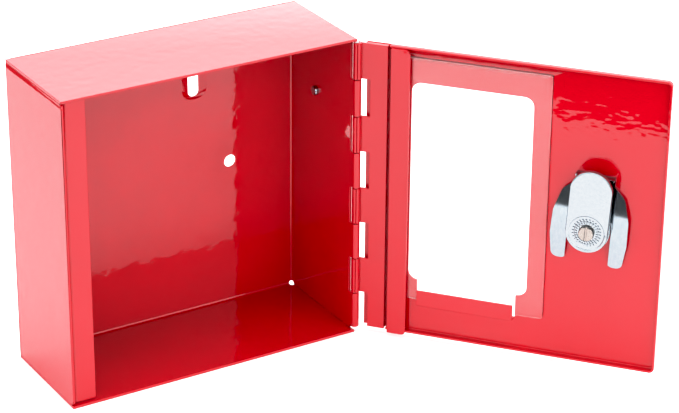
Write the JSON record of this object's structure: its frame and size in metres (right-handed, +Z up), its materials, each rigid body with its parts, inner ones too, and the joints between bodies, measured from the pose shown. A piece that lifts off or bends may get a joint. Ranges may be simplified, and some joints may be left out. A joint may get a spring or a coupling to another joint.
{
  "type": "emergency key cabinet",
  "caption": "Shallow square wall cabinet of folded red sheet steel, with a glazed hinged door held open, a cam lock and a hook for an emergency key.",
  "frame": {"origin": "middle of the back face, in the plane of the wall", "axes": "+X to the right seen from the front, +Y into the wall, +Z up"},
  "size_m": [0.2453, 0.1683, 0.15],
  "materials": {
    "case_enamel": "glossy red powder coat, orange peel",
    "door_enamel": "glossy red powder coat, orange peel",
    "zinc_plate": "bright zinc-plated steel",
    "diecast": "bright nickel-plated zinc die casting",
    "spring_steel": "bright zinc-plated spring steel",
    "brass_wafer": "plain brass",
    "pane": "clear float glass"
  },
  "bodies": {
    "case": {"cabinet_shell": "case_enamel", "corner_tack_welds": "case_enamel", "strike_angle": "case_enamel", "chain_anchor_rivet": "zinc_plate", "hinge_pin": "zinc_plate"},
    "door": {"door_panel": "door_enamel", "door_hinge_leaf": "door_enamel", "door_stile": "door_enamel", "glass_pane": "pane", "lock_housing": "diecast", "horseshoe_clip": "spring_steel"},
    "lock_core": {"lock_plug": "diecast", "stop_washer": "spring_steel", "lock_cam": "zinc_plate", "cam_washer": "spring_steel", "cam_screw": "zinc_plate", "wafer_1": "brass_wafer", "wafer_spring_1": "spring_steel", "wafer_2": "brass_wafer", "wafer_spring_2": "spring_steel", "wafer_3": "brass_wafer", "wafer_spring_3": "spring_steel", "wafer_4": "brass_wafer", "wafer_spring_4": "spring_steel"}
  },
  "joints": [
    {"name": "door_hinge", "type": "hinge", "parent": "case", "child": "door", "pos_m": [0.0749, -0.0575, 0], "axis": [0, 0, 1], "range_deg": [-130, 50]},
    {"name": "lock_turn", "type": "hinge", "parent": "door", "child": "lock_core", "pos_m": [0.14663, -0.14299, -0.0027], "axis": [0.766, 0.6428, 0], "range_deg": [0, 90]}
  ]
}
